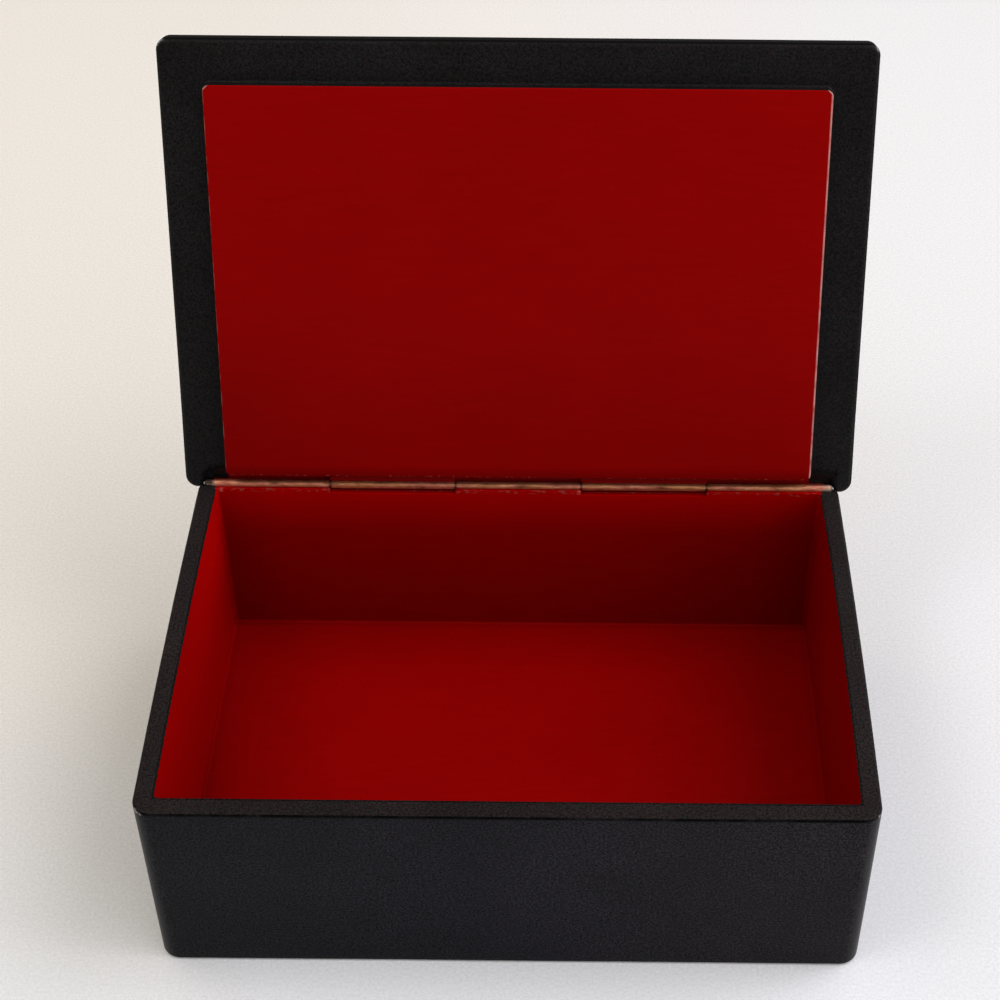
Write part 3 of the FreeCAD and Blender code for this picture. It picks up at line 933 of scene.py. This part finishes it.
def pale_floor():
    """The pale sheet that the box stands on, its painted light a little cooler to the right and the
    front and lighter before the box.
    """
    side = 120 * MM
    near_from = -40 * MM
    near_to = 75 * MM
    middle_from = 55 * MM
    middle_to = 110 * MM
    material, tree, surface, place = new_material("pale_floor")
    cloud = noise_of(tree, place, scale=9, detail=3)
    colour = ramp(tree, cloud, [(NOISE_LOW, FLOOR_DARK), (NOISE_HIGH, FLOOR_LIGHT)])
    # Painted light: warm and cool tints of the room's light, and a lighter patch in front of the box
    sides = ramp(tree, spread(tree, along(tree, place, RIGHT), -side, side), FLOOR_SIDE_LIGHT_TINTS)
    near = spread(tree, along(tree, place, FRONT), near_from, near_to)
    cooler = tinted(tree, colour, FLOOR_NEAR_LIGHT_TINT)
    colour = mixed(tree, near, times(tree, colour, sides), cooler)
    middle = every(
        tree,
        near,
        spread(tree, aside(tree, place), middle_from, middle_to, 1.0, 0.0),
    )
    colour = mixed(tree, middle, colour, tinted(tree, colour, FLOOR_MIDDLE_PAINTED_LIGHT))
    grain = noise_of(tree, place, scale=1400, detail=3, roughness=0.7)
    fibre = ramp(tree, grain, [(NOISE_LOW, grey(0.89)), (NOISE_HIGH, grey(1.09))])
    tree.links.new(times(tree, colour, fibre), surface.inputs["Base Color"])
    surface.inputs["Roughness"].default_value = FLOOR_ROUGH
    surface.inputs["Specular IOR Level"].default_value = FLOOR_GLOSS
    return material


def skin(bm, rings, closed):
    """Faces between rings of points; the rings themselves join up if closed is true."""
    rows = [[bm.verts.new(point) for point in ring] for ring in rings]
    count = len(rows[0])
    pairs = list(zip(rows, rows[1:] + rows[:1])) if closed else list(zip(rows, rows[1:]))
    for row, following in pairs:
        for step in range(count):
            after = (step + 1) % count
            bm.faces.new((row[step], row[after], following[after], following[step]))
    return rows


def make_boards():
    """The walls, floor and lid with their lacquer."""
    wall = black_lacquer("black_lacquer_wall", WALL_GLOSS, wall_red_zone, wall_painted_light)
    plain = black_lacquer("black_lacquer")
    board = black_lacquer("black_lacquer_lid", PLAIN_GLOSS, lid_red_zone, lid_painted_light, lid_edge)
    for name, place, body, slot, material, seed in (
        ("body_wall", UPRIGHT, BOX, "black_lacquer", wall, 1),
        ("bottom_board", UPRIGHT, BOX, "black_lacquer", plain, None),
        ("well_lining", UPRIGHT, BOX, "red_lacquer", well_red(), 3),
        ("lid_board", LID_PLACE, LID, "black_lacquer", board, 4),
        ("lid_panel", LID_PLACE, LID, "black_lacquer", plain, None),
        ("lid_panel_lining", LID_PLACE, LID, "red_lacquer", panel_red(), None),
    ):
        bm = node_surface(name)
        cut_grid(bm, place, GRID)
        if seed:
            make_uneven(bm, WAVE_DEPTH, WAVE_LENGTH, seed)
        finish_piece(f"lacquered_{name}", bm, body, material, [name])
    make_panel_bead(board)


def panel_foot_path():
    """Points round the panel's foot, each with the direction that faces outward from it."""
    low, high = extent("lid_panel", LID_PLACE)
    radius = PANEL_CORNER
    path = []
    for turn, (x, y) in enumerate((
        (high.x - radius, high.y - radius),
        (low.x + radius, high.y - radius),
        (low.x + radius, low.y + radius),
        (high.x - radius, low.y + radius),
    )):
        for step in range(CORNER_STEPS + 1):
            angle = RIGHT_ANGLE * (turn + step / CORNER_STEPS)
            outward = Vector((math.cos(angle), math.sin(angle), 0))
            path.append((Vector((x, y, 0)) + outward * radius, outward))
    return path


def make_panel_bead(material):
    """The hollow fillet of lacquer round the foot of the lid's panel."""
    hollow = [RIGHT_ANGLE * step / CORNER_STEPS for step in range(CORNER_STEPS + 1)]
    section = [(BEAD * (1 - math.sin(a)), BEAD * (1 - math.cos(a))) for a in hollow]
    section += [(0, -BEAD_ROOT), (BEAD, -BEAD_ROOT)]
    section.reverse()
    bm = bmesh.new()
    skin(bm, [
        [LID_PLACE @ (at + outward * out - Vector((0, 0, down))) for out, down in section]
        for at, outward in panel_foot_path()
    ], closed=True)
    finish_piece("lid_panel_bead", bm, LID, material)


def tube_ring(x, inset, seam, seed):
    """One ring of a rolled tube: round its dented outside, and back round its bore."""
    middle = Vector((x, AXIS.y, AXIS.z))
    outer = []
    inner = []
    for part in range(TUBE_SIDES + 1):
        angle = seam + SEAM / 2 + (math.tau - SEAM) * part / TUBE_SIDES
        spoke = Vector((0, math.cos(angle), math.sin(angle)))
        spot = Vector((x / DENT_LENGTH, *spoke.yz * DENT_TURN))
        dent = noise.noise(spot + Vector((seed, 0, 0)))
        outer.append(middle + spoke * (BARREL * (ROUND_SHARE + DENT_SHARE * dent) - inset))
        inner.append(middle + spoke * (PIN + PIN_PLAY))
    return outer + inner[::-1]


def make_knuckle(name, body, seam, material, seed):
    """One length of the hinge's tube, rolled from strip, with its seam turned to its carrier."""
    low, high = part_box(name)
    length = high.x - low.x
    steps = int(length / TUBE_STEP)
    rings = []
    for step in range(steps + 1):
        x = low.x + length * step / steps
        inset = max(MOUTH - min(x - low.x, high.x - x), 0)
        rings.append(tube_ring(x, inset, seam, seed))
    bm = bmesh.new()
    rows = skin(bm, rings, closed=False)
    for row in (rows[0], rows[-1]):
        for part in range(TUBE_SIDES):
            far = len(row) - 1 - part
            bm.faces.new((row[part], row[part + 1], row[far - 1], row[far]))
    finish_piece(f"rolled_{name}", bm, body, material, [name], sharp=50)


def make_hinge():
    """Five rolled lengths of tube, and the pin and strips that are packed as they are."""
    brass = hinge_brass("hinge_brass")
    smeared = hinge_brass("hinge_brass_lacquered", smeared=True)
    steel = pin_steel()
    for name, body, seam, seed in (
        ("base_knuckle_left", BOX, BASE_SEAM, 62.9),
        ("base_knuckle_middle", BOX, BASE_SEAM, 70.3),
        ("base_knuckle_right", BOX, BASE_SEAM, 66.6),
        ("lid_knuckle_left", LID, LID_SEAM, 59.2),
        ("lid_knuckle_right", LID, LID_SEAM, 62.9),
    ):
        make_knuckle(name, body, seam, brass, seed)
    for name, material in (
        ("hinge_pin", steel),
        ("base_strip_pins", steel),
        ("lid_strip_pins", steel),
        ("base_hinge_strip", smeared),
        ("lid_hinge_strip", smeared),
    ):
        for socket in frame["nodes"][name].material_slots:
            socket.material = material


def make_floor():
    """A wide pale floor under the box."""
    bm = bmesh.new()
    bmesh.ops.create_grid(bm, x_segments=FLOOR_CELLS, y_segments=FLOOR_CELLS, size=FLOOR_REACH)
    mesh = bpy.data.meshes.new("floor")
    bm.to_mesh(mesh)
    bm.free()
    mesh.materials.append(pale_floor())
    new_object("floor", mesh)


def add_area(name, place, target, size, power, colour):
    """A soft rectangular light that faces a point."""
    data = bpy.data.lights.new(name, "AREA")
    data.shape = "RECTANGLE"
    data.size, data.size_y = size
    data.energy = power
    data.color = colour
    light = new_object(name, data)
    light.location = place
    light.rotation_euler = (Vector(target) - Vector(place)).to_track_quat("-Z", "Y").to_euler()


def glow(tree, view, direction, colour):
    """A broad glow of the room about a direction, as a colour."""
    towards = vectors(tree, "DOT_PRODUCT", view, direction).outputs["Value"]
    fall = sums(tree, "POWER", sums(tree, "MAXIMUM", towards, 0.0), 2.0)
    return scaled(tree, colour, fall)


def make_room():
    """An even warm room, brighter and cooler to the right, where its windows are."""
    world = bpy.data.worlds.new("room")
    bpy.context.scene.world = world
    world.use_nodes = True
    tree = world.node_tree
    view = tree.nodes.new("ShaderNodeTexCoord").outputs["Generated"]
    total = ROOM
    for direction, colour in GLOWS:
        total = vectors(tree, "ADD", total, glow(tree, view, direction, colour)).outputs["Vector"]
    tree.links.new(total, tree.nodes["Background"].inputs["Color"])


def make_light():
    """The window and the lamps, and the room round them."""
    make_room()
    for name, place, size, power, colour in LIGHTS:
        add_area(name, place, LIGHT_AIM, size, power, colour)


def make_camera():
    """The camera, where the photograph was taken from."""
    data = bpy.data.cameras.new("camera")
    data.sensor_width = CAMERA_SENSOR
    data.lens = CAMERA_LENS
    data.shift_x, data.shift_y = CAMERA_SHIFT
    data.clip_start = CAMERA_NEAR
    camera = new_object("camera", data)
    turn = (
        Matrix.Rotation(CAMERA_HEADING, 4, "Z")
        @ Matrix.Rotation(CAMERA_TILT, 4, "X")
        @ Matrix.Rotation(CAMERA_ROLL, 4, "Z")
    )
    camera.matrix_world = Matrix.Translation(CAMERA_PLACE) @ turn
    bpy.context.scene.camera = camera


bpy.context.scene.view_settings.view_transform = "Standard"
make_boards()
make_hinge()
make_floor()
make_light()
make_camera()
